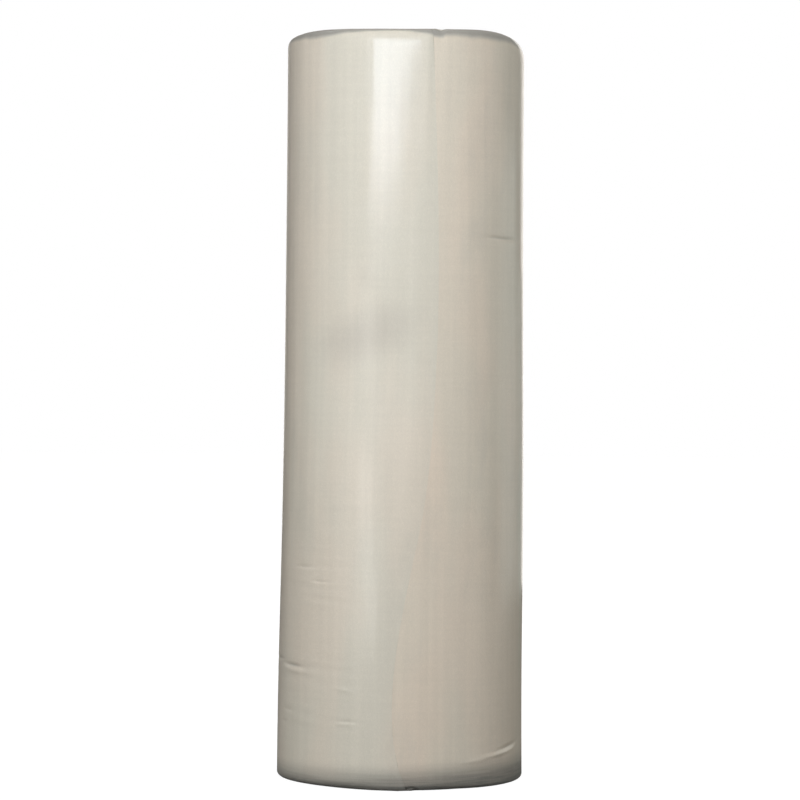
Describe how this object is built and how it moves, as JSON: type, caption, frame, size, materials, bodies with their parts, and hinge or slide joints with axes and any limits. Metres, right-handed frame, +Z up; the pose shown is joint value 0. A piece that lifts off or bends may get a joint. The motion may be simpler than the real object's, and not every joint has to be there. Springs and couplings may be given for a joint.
{
  "type": "roll of quilt batting",
  "caption": "Soft off-white quilt batting, folded lengthwise and wound without a core into a tall roll that stands on its end.",
  "frame": {"origin": "middle of the flat end that the roll stands on, level with the floor", "axes": "+Z up along the roll's axis; -Y is the front, where the free end of the outer turn runs down; +X is to the right of it"},
  "size_m": [0.408, 0.4086, 1.219],
  "materials": {
    "batting": "bonded cotton fibre web, off-white, matt with a soft satin sheen where the outer turn is pressed smooth"
  },
  "bodies": {
    "root": {"batting_roll": "batting"}
  },
  "joints": []
}
